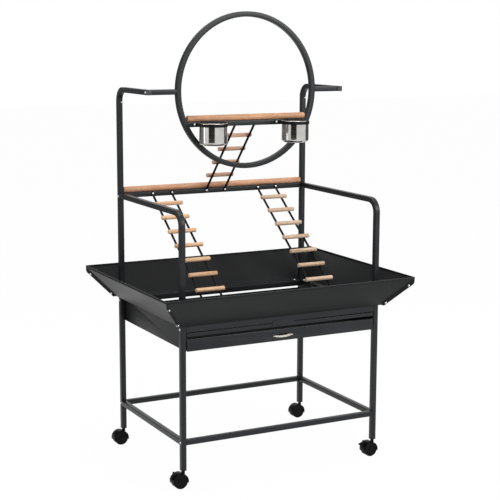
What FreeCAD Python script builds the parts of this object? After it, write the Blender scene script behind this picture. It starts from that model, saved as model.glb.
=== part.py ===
"""Free-standing play stand for parrots, on castors.

Four square-tube legs carry a shallow box with a pull-out grate and drawer. Flared sheet guards
round the box catch seed. Above it stand two rear posts, two bent side arms, a rolled-tube ring,
wooden perches, three ladders and two lift-out steel cups.

Millimetres. X is left to right, Y is front to back, Z is up. The origin is on the floor, at the
centre of the leg rectangle. The front, with the drawer, faces -Y.
"""
import FreeCAD, Part
import math
import os

V = FreeCAD.Vector

# ---- driving sizes ----------------------------------------------------------------------------
# square tube of the whole frame
tube = 18.0              # outside, across the flats
tube_wall = 1.2
spigot_length = 25.0     # swaged end that enters the tube below
spigot_clear = 0.15
collar = 2.0             # solid ring where the swaged end leaves its tube
bar_top_gap = 1.0        # the rear posts part this far above the middle bar

# leg rectangle and the levels of the frame
leg_span_x = 740.0       # leg centre to leg centre, left to right
leg_span_y = 521.0       # leg centre to leg centre, front to back
leg_foot_z = 61.0        # underside of the leg tube
stretcher_z = 154.0      # centre of the bottom stretchers
deck_z = 547.0           # top of the box: guards and upper frame start here
arm_z = 914.0            # centre of the middle bar and of the side arms
arm_bend_r = 42.0        # centreline radius of a side arm's front bend
top_arm_z = 1288.0       # centre of the top arms and of the ring
elbow_r = 42.0           # centreline radius of the top elbow

# box below the deck
sheet = 1.2              # folded sheet steel
rail_height = 22.0       # front and rear rail under the deck
box_height = 85.0        # side panel, from the deck down
ledge_width = 11.0       # inward fold that carries the drawer
panel_short = 2.0        # panel ends short of the faces they run up to
runner_drop = 8.0        # downward leg of a grate runner
rear_panel_drop = 28.0   # the rear panel's top edge below the deck: leaves a slit under the rail
grate_bar_height = 13.6  # front bar of the grate
grate_gap = 1.2          # front rail to grate bar
drawer_height = 38.5     # drawer front
drawer_drop = 47.0       # drawer front's top edge below the deck
slide_clear = 2.0        # drawer and grate to the side panels, each side
run_clear = 0.3          # under a sliding tray
drawer_sheet = 1.0
drawer_end_clear = 4.0   # drawer and grate to the rear panel
pull_width = 86.0        # finger cut-out of the drawer
pull_height = 15.0
pull_drop = 22.0         # cut-out's middle below the drawer front's top
pull_lip = 9.0           # lip pushed in behind the cut-out
drawer_hem = 8.0         # fold along the drawer front's top
pan_drop = 3.0           # rim of the drawer's pan below its front's top
tab_width = 84.0         # finger tab of the grate
tab_height = 17.0
tab_low = 4.0            # tab's foot above the foot of the grate bar
grate_shelf = 8.0        # fold along the foot of the grate bar
grate_rod = 5.0          # border rod of the grate
grate_wire = 3.0
grate_spacing = 38.0     # wire to wire
wire_sink = 0.6          # how far a wire is welded into the border rods

# seed guards
guard_out = 84.0         # how far a guard flares out
guard_rise = 99.0        # height of the slope
guard_lip = 8.0          # upright rim
guard_step = 5.0         # the slope starts this far outside the legs
guard_bend_r = 2.0       # folds of a guard
guard_foot_gap = 0.5     # foot flange short of the tube's inner edge
flange_width = 11.0      # corner flange, folded outward
flange_knee = 0.55       # share of the flange's end that is cut upright before it turns
corner_clear = 0.15      # half the gap between two corner flanges
post_clear = 0.3         # foot flange to the post beside it

# ring and perches
ring_y = 6.0             # centre plane of the ring
ring_outer_r = 269.0
perch_dia = 21.0
seat_gap = 0.2
ring_bar_drop = 111.0    # bar across the ring, below the ring's centre
perch_end_gap = 2.0      # perch end to ring or post

# ladders
wire_dia = 8.0
ladder_gauge = 75.0      # wire to wire
ladder_offset = 212.5    # centre of a lower ladder from the middle
rung_dia = 15.0
rung_length = 105.0
rung_spacing = 70.0
rung_first = 60.0        # lower ladders: first rung from the top eye
foot_free_lower = 100.0  # at least this much wire is left free below the last rung
foot_free_upper = 45.0
rung_seat = 0.1          # rung to wire
eye_dia = 13.0           # flattened wire end under its bolt, square
eye_thick = 4.0
eye_hold = 2.0           # how far a wire runs into its eye, and starts beyond it
ladder_bolt_up = 1.5     # ladder bolts above the middle bar's centre
ladder_foot_drop = 12.5  # lower ladder bolts below the deck

# cups and holders
cup_dia = 94.0
cup_height = 74.0
cup_sheet = 0.9
cup_rim = 2.6            # rolled rim, thickness beyond the wall
cup_offset = 158.5       # centre of a cup from the middle
cup_bolt_half = 45.0     # holder bolts from the cup's centre
band_height = 10.0
band_thick = 2.0
band_clear = 0.4         # band to cup
cup_bar_gap = 2.5        # band to the holder's back plate
plate_margin = 8.0       # back plate beyond its bolts
holder_neck = 28.0       # width of the piece between band and back plate

# castors
wheel_dia = 50.0
wheel_width = 13.0
web_thick = 6.0          # hood's middle web, between the wheels
wheel_gap = 0.5          # wheel to web
axle_dia = 5.0
caster_trail = 14.0      # swivel axis to axle
fender_gap = 0.8         # wheel to hood
fender_thick = 1.6
hood_skirt = 6.0         # the hood ends this far below the axle
hood_overhang = 0.5          # hood beyond the wheels' outer faces
seam = 0.6               # overlap where two shapes of one part are joined
stem_dia = 8.0
neck_z = 45.0            # foot of the neck, inside the hood
neck_dia = 12.0
shaft_clear = 0.05       # radial, axle and stem
plug_depth = 28.0        # plug inside the leg
plug_flange = 2.0
neck_gap = 0.5           # neck to plug
stem_short = 6.0         # stem shorter than its plug
pedal_length = 24.0
pedal_width = 16.0
pedal_thick = 3.0
pedal_pin_dia = 3.0
pedal_cheek = 2.0        # thickness of a cheek beside the pedal
pedal_cheek_gap = 0.4
pedal_eye_dia = 7.0
pedal_pin_r = 32.0       # pedal pin from the axle
pedal_pin_deg = 122.0    # pedal pin round the axle, from the swivel side
pedal_down_deg = 233.0   # pedal pressed: direction from its pin
pedal_swing = 32.0       # pressed to released

# ---- places that follow from the sizes ---------------------------------------------------------
half = tube / 2
elbow_split_z = top_arm_z - elbow_r - collar     # where the bent top piece slides into the post
ring_bar_z = top_arm_z - ring_bar_drop
leg_x = leg_span_x / 2
leg_y = leg_span_y / 2
in_x = leg_x - half          # inner faces of the legs
in_y = leg_y - half
out_x = leg_x + half
out_y = leg_y + half
rail_low = deck_z - rail_height
box_low = deck_z - box_height
panel_in = in_x - sheet      # inner face of a side panel
slide_x = panel_in - slide_clear
back_in = in_y - sheet       # inner face of the rear panel
grate_top = rail_low - grate_gap
grate_low = grate_top - grate_bar_height
ledge_z = grate_low - run_clear      # top of the grate runner
drawer_top = deck_z - drawer_drop
drawer_low = drawer_top - drawer_height
drawer_floor = box_low + sheet + run_clear
ring_inner_r = ring_outer_r - tube
ring_bar_front = ring_y - half
ring_bar_back = ring_y + half
ladder_z = arm_z + ladder_bolt_up
axle_z = wheel_dia / 2
wheel_in = web_thick / 2 + wheel_gap
wheel_out = wheel_in + wheel_width
fender_r = wheel_dia / 2 + fender_gap
hood_half = wheel_out + hood_overhang
corners = {"front_left": (-1, -1), "front_right": (1, -1), "rear_left": (-1, 1), "rear_right": (1, 1)}
sides = {"left": -1, "right": 1}
beyond = leg_span_x          # reach of a cutting block past the part it cuts
parts = {}


# ---- tools -------------------------------------------------------------------------------------
def block(x0, x1, y0, y1, z0, z1):
    x0, x1 = sorted((x0, x1))
    y0, y1 = sorted((y0, y1))
    z0, z1 = sorted((z0, z1))
    return Part.makeBox(x1 - x0, y1 - y0, z1 - z0, V(x0, y0, z0))


def rod(p, q, dia):
    return Part.makeCylinder(dia / 2, (q - p).Length, p, q - p)


def tube_along(axis, p0, p1, a, b, wide=tube, tall=tube):
    """Square or flat tube along an axis from p0 to p1. a, b are its centre on the other two."""
    def bar(w, t):
        if axis == "x":
            return block(p0, p1, a - w / 2, a + w / 2, b - t / 2, b + t / 2)
        if axis == "y":
            return block(a - w / 2, a + w / 2, p0, p1, b - t / 2, b + t / 2)
        return block(a - w / 2, a + w / 2, b - t / 2, b + t / 2, p0, p1)
    return bar(wide, tall).cut(bar(wide - 2 * tube_wall, tall - 2 * tube_wall))


def spigot(x, y, top):
    """Swaged end below 'top': a tube that slides into the tube underneath, tied in by its collar."""
    size = tube - 2 * tube_wall - 2 * spigot_clear
    sleeve = block(x - size / 2, x + size / 2, y - size / 2, y + size / 2, top - spigot_length, top + collar)
    bore = size - 2 * tube_wall
    sleeve = sleeve.cut(block(x - bore / 2, x + bore / 2, y - bore / 2, y + bore / 2,
                              top - spigot_length, top + collar))
    rim = block(x - half, x + half, y - half, y + half, top, top + collar)
    rim = rim.cut(block(x - bore / 2, x + bore / 2, y - bore / 2, y + bore / 2, top, top + collar))
    return sleeve.fuse(rim)


def bent_edges(path, radius, off):
    """Edges of a 2-D path, offset to its left by 'off', with every corner on a tangent arc."""
    pts = [FreeCAD.Vector(u, v, 0) for u, v in path]
    dirs = [(b - a).normalize() for a, b in zip(pts, pts[1:])]
    left = [V(-d.y, d.x, 0) for d in dirs]
    edges, here = [], pts[0] + left[0] * off
    for i in range(1, len(pts) - 1):
        turn = math.atan2(dirs[i - 1].cross(dirs[i]).z, dirs[i - 1].dot(dirs[i]))
        sign = 1 if turn > 0 else -1
        reach = radius * math.tan(abs(turn) / 2)
        a = pts[i] - dirs[i - 1] * reach
        centre = a + left[i - 1] * sign * radius
        r = radius - sign * off
        mid = (left[i - 1] + left[i]).normalize()
        p, m, q = (centre - n * sign * r for n in (left[i - 1], mid, left[i]))
        if (p - here).Length > 1e-6:
            edges.append(Part.makeLine(here, p))
        edges.append(Part.Arc(p, m, q).toShape())
        here = q
    edges.append(Part.makeLine(here, pts[-1] + left[-1] * off))
    return edges, pts[0] + left[0] * off, pts[-1] + left[-1] * off


def ribbon(path, radius, width, place, depth):
    """Bar of rectangular section: the path fattened by width in its plane, then drawn by depth."""
    one, a0, a1 = bent_edges(path, radius, width / 2)
    two, b0, b1 = bent_edges(path, radius, -width / 2)
    wire = Part.Wire(Part.__sortEdges__(one + two + [Part.makeLine(a0, b0), Part.makeLine(a1, b1)]))
    face = Part.Face(wire)
    face.Placement = place
    return face.extrude(place.Rotation.multVec(V(0, 0, depth)))


def in_yz(x):
    """Places 2-D (u, v) as (Y, Z) in the plane X = x, drawn towards +X."""
    return FreeCAD.Placement(V(x, 0, 0), FreeCAD.Rotation(V(0, 1, 0), V(0, 0, 1), V(1, 0, 0), "XYZ"))


def bent_tube(path, radius, x):
    """Square tube bent in a plane of constant X."""
    outer = ribbon(path, radius, tube, in_yz(x - half), tube)
    inner = ribbon(path, radius, tube - 2 * tube_wall, in_yz(x - half + tube_wall), tube - 2 * tube_wall)
    return outer.cut(inner)


# ---- lower frame -------------------------------------------------------------------------------
def lower_frame():
    for name, (sx, sy) in corners.items():
        x, y = sx * leg_x, sy * leg_y
        parts["leg_" + name] = tube_along("z", leg_foot_z, deck_z, x, y)
    for name, sy in (("front", -1), ("rear", 1)):
        parts["stretcher_" + name] = tube_along("x", -in_x, in_x, sy * leg_y, stretcher_z)
        parts["rail_" + name] = tube_along("x", -panel_in, panel_in, sy * leg_y,
                                           deck_z - rail_height / 2, tube, rail_height)
    for name, sx in sides.items():
        parts["stretcher_" + name] = tube_along("y", -in_y, in_y, sx * leg_x, stretcher_z)


# ---- box: side panels, rear panel, grate runners ------------------------------------------------
def box():
    for name, sx in sides.items():
        # web against the legs' inner faces, ledge folded in at the foot, seat folded out at the top
        web = block(sx * panel_in, sx * in_x, -out_y + panel_short, out_y - panel_short, box_low, deck_z)
        ledge = block(sx * (in_x - ledge_width), sx * in_x, -in_y + panel_short, back_in,
                      box_low, box_low + sheet)
        seat = block(sx * in_x, sx * out_x, -in_y, in_y, deck_z - sheet, deck_z)
        parts["side_panel_" + name] = web.fuse([ledge, seat]).removeSplitter()
        # angle whose top carries the grate
        front = -in_y + panel_short
        edge = sx * panel_in
        flat = block(edge - sx * ledge_width, edge, front, back_in, ledge_z - sheet, ledge_z)
        down = block(edge - sx * sheet, edge, front, back_in, ledge_z - runner_drop, ledge_z)
        parts["grate_runner_" + name] = flat.fuse(down).removeSplitter()
    parts["rear_panel"] = block(-panel_in, panel_in, back_in, in_y, box_low + sheet, deck_z - rear_panel_drop)


# ---- drawer ------------------------------------------------------------------------------------
def lens(width, height, y0, y1, z_mid):
    """Opening between two arcs that meet in points at z_mid."""
    left, right = V(-width / 2, y0, z_mid), V(width / 2, y0, z_mid)
    arcs = [Part.Arc(left, V(0, y0, z_mid + s * height / 2), right).toShape() for s in (1, -1)]
    return Part.Face(Part.Wire(arcs)).extrude(V(0, y1 - y0, 0))


def drawer():
    w, t = slide_x, drawer_sheet
    front = -out_y
    back = back_in - drawer_end_clear
    pan = block(-w, w, front, back, drawer_floor, drawer_top - pan_drop)
    pan = pan.cut(block(-w + t, w - t, front + t, back - t, drawer_floor + t, drawer_top))
    face = block(-w, w, front, front + t, drawer_low, drawer_top)
    hem = block(-w, w, front, front + drawer_hem, drawer_top - t, drawer_top)
    body = pan.fuse([face, hem])
    z_mid = drawer_top - pull_drop
    body = body.cut(lens(pull_width, pull_height, front - t, front + t, z_mid))
    # the metal pushed out of the cut-out forms a lip along its lower curve
    lip = lens(pull_width, pull_height, front, front + pull_lip, z_mid)
    lip = lip.cut(lens(pull_width - 2 * t, pull_height - 2 * t, front - t, front + pull_lip + t, z_mid))
    lip = lip.cut(block(-w, w, front - t, front + pull_lip + t, z_mid, drawer_top))
    parts["drawer"] = body.fuse(lip).removeSplitter()


# ---- grate -------------------------------------------------------------------------------------
def grate():
    w = slide_x
    front = -out_y
    back = back_in - drawer_end_clear
    r, h = grate_rod / 2, grate_wire / 2
    bar = block(-w, w, front, front + sheet, grate_low, grate_top)
    shelf = block(-w, w, front, front + grate_shelf, grate_low, grate_low + sheet)
    half_tab, proud, tab_foot = tab_width / 2, front - run_clear, grate_low + tab_low
    tab = block(-half_tab, half_tab, proud - sheet, proud, tab_foot, tab_foot + tab_height)
    tab = tab.fuse(block(-half_tab, half_tab, proud - sheet, front, tab_foot, grate_top))

    y0 = front + grate_shelf + r
    run = back - r - y0
    low, top = grate_low, grate_low + grate_rod
    rods = [block(sx * (w - grate_rod), sx * w, front + sheet, back, low, top) for sx in (-1, 1)]
    rods += [block(-w + r, w - r, y0 + run * k / 2 - r, y0 + run * k / 2 + r, low, top) for k in range(3)]
    count = int((2 * w - 2 * grate_rod) // grate_spacing)
    for i in range(count + 1):
        x = (i - count / 2) * grate_spacing
        rods.append(block(x - h, x + h, y0 - r, back, top - wire_sink, top - wire_sink + grate_wire))
    parts["grate"] = bar.fuse([shelf, tab] + rods)


# ---- seed guards -------------------------------------------------------------------------------
def guard_profile():
    """Foot flange, slope and upright lip, as (distance outward from the inner leg face, height)."""
    foot = tube + guard_step
    return [(guard_foot_gap, deck_z + sheet / 2), (foot, deck_z + sheet / 2),
            (foot + guard_out, deck_z + guard_rise), (foot + guard_out, deck_z + guard_rise + guard_lip)]


def corner_flange(on_mitre):
    """Outline of the strip outward of the slope, in the mitre plane."""
    slope = math.hypot(guard_out, guard_rise)
    down = flange_width * slope / guard_out
    z0, z1 = deck_z, deck_z + guard_rise
    heel = (sheet / 2, z0 + sheet)
    places = [heel, (guard_out, z1), (guard_out, z1 - down * flange_knee),
              (guard_out - guard_bend_r, z1 - down), (flange_width - sheet, z0 - sheet), heel]
    return Part.Face(Part.makePolygon([on_mitre(out, z) for out, z in places]))


def guard(length_half, inner, turn):
    """One guard, built facing -Y for a side whose inner leg face is at 'inner', then turned."""
    reach = length_half + beyond
    place = FreeCAD.Placement(V(-reach, -inner, 0),
                              FreeCAD.Rotation(V(0, -1, 0), V(0, 0, 1), V(-1, 0, 0), "XYZ"))
    skin = ribbon(guard_profile(), guard_bend_r, sheet, place, -2 * reach)
    # mitre both ends on the diagonal planes, and keep the foot flange clear of the posts
    foot_x, foot_y = length_half + half + guard_step, inner + tube + guard_step
    cut_back = corner_clear / math.cos(math.pi / 4)
    for sx in (-1, 1):
        def on_mitre(out, z):
            return V(sx * (foot_x + out - cut_back), -(foot_y + out), z)
        inside, outside = on_mitre(-foot_y, 0), on_mitre(beyond, 0)
        far_x = V(sx * 2 * beyond, 0, 0)
        wedge = [inside, outside, outside + far_x, inside + far_x, inside]
        skin = skin.cut(Part.Face(Part.makePolygon(wedge)).extrude(V(0, 0, 2 * beyond)))
        post = block(sx * (length_half - half - post_clear), sx * (length_half + tube),
                     -inner - tube - post_clear, -inner, deck_z - sheet, deck_z + tube)
        skin = skin.cut(post)
        inward = V(-sx, -1, 0).normalize()
        skin = skin.fuse(corner_flange(on_mitre).extrude(inward * sheet))
    skin = skin.removeSplitter()
    skin.rotate(V(0, 0, 0), V(0, 0, 1), turn)
    return skin


def guards():
    parts["seed_guard_front"] = guard(leg_x, in_y, 0)
    parts["seed_guard_rear"] = guard(leg_x, in_y, 180)
    parts["seed_guard_left"] = guard(leg_y, in_x, -90)
    parts["seed_guard_right"] = guard(leg_y, in_x, 90)


# ---- upper frame -------------------------------------------------------------------------------
def upper_frame():
    split = arm_z + half + bar_top_gap
    for name, sx in sides.items():
        x = sx * leg_x
        lower = tube_along("z", deck_z + collar, split, x, leg_y)
        parts["rear_post_" + name] = lower.fuse(spigot(x, leg_y, deck_z)).removeSplitter()
        upper = tube_along("z", split + collar, elbow_split_z, x, leg_y)
        parts["upper_post_" + name] = upper.fuse(spigot(x, leg_y, split)).removeSplitter()
        path = [(leg_y, elbow_split_z + collar), (leg_y, top_arm_z), (ring_y - half, top_arm_z)]
        bend = bent_tube(path, elbow_r, x)
        parts["post_elbow_" + name] = bend.fuse(spigot(x, leg_y, elbow_split_z)).removeSplitter()
        arm = bent_tube([(in_y, arm_z), (-leg_y, arm_z), (-leg_y, deck_z + collar)], arm_bend_r, x)
        parts["side_arm_" + name] = arm.fuse(spigot(x, -leg_y, deck_z)).removeSplitter()
    parts["middle_bar"] = tube_along("x", -in_x, in_x, leg_y, arm_z)


def dowel(y, z, half_length):
    """Wooden perch along X."""
    return rod(V(-half_length, y, z), V(half_length, y, z), perch_dia)


def ring_group():
    centre, back = V(0, ring_y - half, top_arm_z), V(0, 1, 0)
    ring = Part.makeCylinder(ring_outer_r, tube, centre, back)
    ring = ring.cut(Part.makeCylinder(ring_inner_r, tube, centre, back))
    parts["ring"] = ring
    outside = Part.makeCylinder(ring_outer_r, 3 * tube, centre - back * tube, back)
    inside = Part.makeCylinder(ring_inner_r, 3 * tube, centre - back * tube, back)
    for name, sx in sides.items():
        arm = tube_along("x", sx * ring_inner_r, sx * in_x, ring_y, top_arm_z)
        parts["ring_arm_" + name] = arm.cut(outside)
    parts["ring_bar"] = tube_along("x", -ring_inner_r, ring_inner_r, ring_y, ring_bar_z).common(inside)
    perch_z = ring_bar_z + half + seat_gap + perch_dia / 2
    drop = top_arm_z - (perch_z - perch_dia / 2)
    parts["ring_perch"] = dowel(ring_y, perch_z, math.sqrt(ring_inner_r ** 2 - drop ** 2) - perch_end_gap)
    parts["middle_perch"] = dowel(leg_y, arm_z + half + seat_gap + perch_dia / 2, in_x - perch_end_gap)


# ---- ladders -----------------------------------------------------------------------------------
def ladder(name, x_mid, high, low, first, foot_free):
    """Two wires between the eyes at high and low (Y, Z of their bolts), with the rungs laid on top.

    first: distance along the wire from its top end to the first rung. foot_free: the least
    distance from the last rung to the wire's foot.
    """
    drop = eye_dia / 2 - eye_hold              # a wire leaves its eye at the rim
    top, foot = V(0, high[0], high[1] - drop), V(0, low[0], low[1] + drop)
    way = (foot - top).normalize()
    up = V(0, -way.z, way.y)
    if up.z < 0:
        up = up * -1
    wires, bars = [], []
    for side in (-1, 1):
        x = V(x_mid + side * ladder_gauge / 2, 0, 0)
        wire = rod(top + x + way * eye_hold, foot + x - way * eye_hold, wire_dia)
        for y, z in (high, low):
            wire = wire.fuse(block(x.x - eye_dia / 2, x.x + eye_dia / 2, y - eye_thick / 2, y + eye_thick / 2,
                                   z - eye_dia / 2, z + eye_dia / 2))
        wires.append(wire)
    rise = (wire_dia + rung_dia) / 2 + rung_seat
    rungs = 1 + int(((foot - top).Length - first - foot_free) / rung_spacing)
    for i in range(rungs):
        base = top + way * (first + rung_spacing * i)
        at = base + up * rise + V(x_mid - rung_length / 2, 0, 0)
        bar = rod(at, at + V(rung_length, 0, 0), rung_dia)
        bars.append(bar)
    parts["ladder_wires_" + name] = wires
    parts["ladder_rungs_" + name] = bars


def ladders():
    bar_face = in_y - eye_thick / 2            # eyes lie on the middle bar's front face
    rail_face = -in_y + eye_thick / 2          # and on the front rail's inner face
    on_bar, on_rail = (bar_face, ladder_z), (rail_face, deck_z - ladder_foot_drop)
    for name, sx in sides.items():
        ladder(name, sx * ladder_offset, on_bar, on_rail, rung_first, foot_free_lower)
    ring_face = ring_bar_back + eye_thick / 2
    ladder("upper", 0, (ring_face, ring_bar_z), on_bar, rung_spacing, foot_free_upper)


# ---- cups --------------------------------------------------------------------------------------
def cups():
    band_r = cup_dia / 2 + band_clear
    band_top = ring_bar_z + band_height / 2
    cup_y = ring_bar_front - band_thick - cup_bar_gap - band_thick - band_r
    for name, sx in sides.items():
        x = sx * cup_offset
        low = V(x, cup_y, band_top - band_height)
        band = Part.makeCylinder(band_r + band_thick, band_height, low)
        plate_y = ring_bar_front - band_thick
        plate_half = cup_bolt_half + plate_margin
        plate = block(x - plate_half, x + plate_half, plate_y, ring_bar_front,
                      band_top - band_height, band_top)
        neck = block(x - holder_neck / 2, x + holder_neck / 2, cup_y + band_r, ring_bar_front,
                     band_top - band_height, band_top)
        bore = Part.makeCylinder(band_r, 2 * band_height, low - V(0, 0, band_height / 2))
        parts["cup_holder_" + name] = band.fuse([plate, neck]).cut(bore).removeSplitter()
        # cup: straight wall, bevelled foot, rolled rim that rests on the band
        r, t = cup_dia / 2, cup_sheet
        seat = band_top + seat_gap
        top = seat + cup_rim
        foot = top - cup_height
        outside = [(0, foot), (r, foot), (r, seat), (r + cup_rim, top)]
        profile = outside + [(r - t, top), (r - t, foot + t), (0, foot + t)]
        pts = [V(x + u, cup_y, w) for u, w in profile]
        face = Part.Face(Part.makePolygon(pts + [pts[0]]))
        parts["cup_" + name] = face.revolve(V(x, cup_y, 0), V(0, 0, 1), 360)


# ---- castors -----------------------------------------------------------------------------------
def wheel_pair(x, y):
    """Two wheels pressed on the axle that turns in the hood's web."""
    reach = wheel_in + seam
    axle = Part.makeCylinder(axle_dia / 2, 2 * reach, V(x, y - reach, axle_z), V(0, 1, 0))
    discs = [Part.makeCylinder(wheel_dia / 2, wheel_width, V(x, y + w, axle_z), V(0, 1, 0))
             for w in (wheel_in, -wheel_out)]
    return axle.fuse(discs)


def sector(x, y, r_out, r_in, y_half):
    """Hood-shaped part of a disc about the axle, open below."""
    outer = Part.makeCylinder(r_out, 2 * y_half, V(x, y - y_half, axle_z), V(0, 1, 0))
    if r_in:
        outer = outer.cut(Part.makeCylinder(r_in, 2 * y_half, V(x, y - y_half, axle_z), V(0, 1, 0)))
    skirt = axle_z - hood_skirt
    return outer.cut(block(x - r_out, x + r_out, y - y_half, y + y_half, axle_z - r_out, skirt))


def castors():
    plugs = []
    for name, (sx, sy) in corners.items():
        x, y = sx * leg_x, sy * leg_y
        ax = x - caster_trail
        braked = sy < 0
        # plug in the foot of the leg, with the bore the stem turns in
        reach = half - tube_wall - spigot_clear
        plug = block(x - reach, x + reach, y - reach, y + reach, leg_foot_z, leg_foot_z + plug_depth)
        flange = block(x - half, x + half, y - half, y + half, leg_foot_z - plug_flange, leg_foot_z)
        plug = plug.fuse(flange).removeSplitter()
        bore_foot = V(x, y, leg_foot_z - plug_flange - seam)
        plugs.append(plug.cut(Part.makeCylinder(stem_dia / 2 + shaft_clear, plug_depth, bore_foot)))
        # hood: web between the wheels, fender over them, neck and stem
        web = sector(ax, y, fender_r + seam, 0, web_thick / 2)
        fender = sector(ax, y, fender_r + fender_thick, fender_r, hood_half)
        neck_top = leg_foot_z - plug_flange - neck_gap
        neck = Part.makeCylinder(neck_dia / 2, neck_top - neck_z, V(x, y, neck_z))
        stem = Part.makeCylinder(stem_dia / 2, plug_depth - stem_short, V(x, y, neck_top))
        hood = web.fuse([fender, neck])
        for w in (wheel_in - wheel_gap, -wheel_out - wheel_gap):
            hood = hood.cut(Part.makeCylinder(fender_r, wheel_width + 2 * wheel_gap, V(ax, y + w, axle_z),
                                              V(0, 1, 0)))
        bore_r = axle_dia / 2 + shaft_clear
        hood = hood.cut(Part.makeCylinder(bore_r, 2 * web_thick, V(ax, y - web_thick, axle_z), V(0, 1, 0)))
        hood = hood.fuse(stem)
        if braked:
            px = ax + pedal_pin_r * math.cos(math.radians(pedal_pin_deg))
            pz = axle_z + pedal_pin_r * math.sin(math.radians(pedal_pin_deg))
            hood = hood.fuse(pedal_bracket(px, pz, ax, y)).removeSplitter()
            parts["brake_pedal_" + name] = pedal(px, pz, y, 0 if sx < 0 else pedal_swing)
        parts["caster_hood_" + name] = hood.removeSplitter()
        parts["caster_wheels_" + name] = wheel_pair(ax, y)
    parts["leg_plugs"] = plugs


def pedal_bracket(px, pz, ax, y):
    """Two cheeks on the fender and the pin between them."""
    toward = V(ax - px, 0, axle_z - pz).normalize()
    across = V(-toward.z, 0, toward.x) * (pedal_eye_dia / 2)
    pieces = []
    for s in (-1, 1):
        y_mid = y + s * (pedal_width / 2 + pedal_cheek_gap + pedal_cheek / 2)
        eye = V(px, y_mid - pedal_cheek / 2, pz)
        foot = eye + toward * (pedal_pin_r - fender_r - fender_thick + seam)
        pieces.append(Part.makeCylinder(pedal_eye_dia / 2, pedal_cheek, eye, V(0, 1, 0)))
        quad = [eye + across, eye - across, foot - across, foot + across, eye + across]
        pieces.append(Part.Face(Part.makePolygon(quad)).extrude(V(0, pedal_cheek, 0)))
    reach = pedal_width / 2 + pedal_cheek_gap + pedal_cheek / 2
    pin = Part.makeCylinder(pedal_pin_dia / 2, 2 * reach, V(px, y - reach, pz), V(0, 1, 0))
    return pin.fuse(pieces)


def pedal(px, pz, y, raised):
    """Foot pedal: an eye round its pin and a plate that leads away from it."""
    w = pedal_width / 2
    eye = Part.makeCylinder(pedal_eye_dia / 2, 2 * w, V(px, y - w, pz), V(0, 1, 0))
    plate = block(px, px + pedal_length, y - w, y + w, pz - pedal_thick / 2, pz + pedal_thick / 2)
    arm = eye.fuse(plate).removeSplitter()
    arm = arm.cut(Part.makeCylinder(pedal_pin_dia / 2 + shaft_clear, 4 * w, V(px, y - 2 * w, pz), V(0, 1, 0)))
    # turning about +Y by a positive angle lowers +X, so the direction angle is negated
    arm.rotate(V(px, y, pz), V(0, 1, 0), -(pedal_down_deg - raised))
    return arm


# ---- build -------------------------------------------------------------------------------------
lower_frame()
box()
drawer()
grate()
guards()
upper_frame()
ring_group()
ladders()
cups()
castors()

os.makedirs("parts", exist_ok=True)
for name, shape in parts.items():
    solids = shape if isinstance(shape, list) else [shape]
    flat = [s for item in solids for s in item.Solids]
    out = flat[0] if len(flat) == 1 else Part.makeCompound(flat)
    out.exportStep(os.path.join("parts", name + ".step"))
    bad = [i for i, s in enumerate(flat) if not s.isValid()]
    print("%-26s %3d solid(s) %9.1f cm3%s" % (name, len(flat), sum(s.Volume for s in flat) / 1000,
                                             "  INVALID %s" % bad if bad else ""))
print(len(parts), "nodes")
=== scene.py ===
# %% [markdown]
# A play stand with perches, ladders and cups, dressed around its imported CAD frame.
#
# The frame already has every tube, sheet, perch and castor at its true size and place, and the
# bodies that move. This lesson gives those parts what a solid for physics leaves out: rounded tube
# corners, rolled rims, domed bolts, wood grain, powder coat and polished steel.

# %% Load the frame
import math

import bmesh
import bpy
from mathutils import Matrix, Vector


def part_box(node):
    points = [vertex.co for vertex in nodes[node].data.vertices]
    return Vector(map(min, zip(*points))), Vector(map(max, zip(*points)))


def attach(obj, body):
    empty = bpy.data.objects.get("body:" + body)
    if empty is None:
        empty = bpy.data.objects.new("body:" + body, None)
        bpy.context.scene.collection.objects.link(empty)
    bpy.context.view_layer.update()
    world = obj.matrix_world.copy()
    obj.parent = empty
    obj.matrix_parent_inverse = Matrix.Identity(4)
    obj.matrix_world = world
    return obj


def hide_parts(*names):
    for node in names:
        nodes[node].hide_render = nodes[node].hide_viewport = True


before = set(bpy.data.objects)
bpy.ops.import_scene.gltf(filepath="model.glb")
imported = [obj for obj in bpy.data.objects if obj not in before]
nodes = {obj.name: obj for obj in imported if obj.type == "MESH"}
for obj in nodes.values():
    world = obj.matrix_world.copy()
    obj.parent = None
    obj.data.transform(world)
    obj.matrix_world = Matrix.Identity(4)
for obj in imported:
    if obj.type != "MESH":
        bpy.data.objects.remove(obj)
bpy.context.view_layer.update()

# %% [markdown]
# The camera stands front left of the stand, a little above its middle, with a long lens. A Track To
# constraint could aim it, but can't lean the picture a little. So its place is given in metres, its
# heading, pitch and roll in degrees, and its three axes are built one from another.

# %% Camera
image_px = 500
focal_px = 1300.1
sensor_mm = 36.0
farthest_seen = 50
camera_at = Vector((-2.0809, -4.0081, 1.5026))
heading, pitch, roll = (math.radians(degrees) for degrees in (27.578, 9.716, 0.199))

ahead = Vector((
    math.sin(heading) * math.cos(pitch),
    math.cos(heading) * math.cos(pitch),
    -math.sin(pitch),
))
level_right = Vector((math.cos(heading), -math.sin(heading), 0))
level_up = level_right.cross(ahead)
right = level_right * math.cos(roll) + level_up * math.sin(roll)
up = right.cross(ahead)
bpy.ops.object.camera_add()
camera = bpy.context.object
camera.matrix_world = Matrix.Translation(camera_at) @ Matrix((right, up, -ahead)).transposed().to_4x4()
camera.data.sensor_width = sensor_mm
camera.data.lens = sensor_mm * focal_px / image_px
camera.data.clip_end = farthest_seen
bpy.context.scene.camera = camera
print("lens", round(camera.data.lens, 1), "mm")

# %% [markdown]
# Light comes from five lamps: one behind on the left, which skims the metal and gives it pale edges,
# one in front on each side, a weak one on the right and one above. Spots would cut hard shadows, so
# each lamp is a large square. The fronts of the upper tubes mirror the one in front on the right, so
# the ring is a little lighter than the legs.

# %% Lamps
stand_middle = Vector((0, 0, 0.8))


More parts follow.
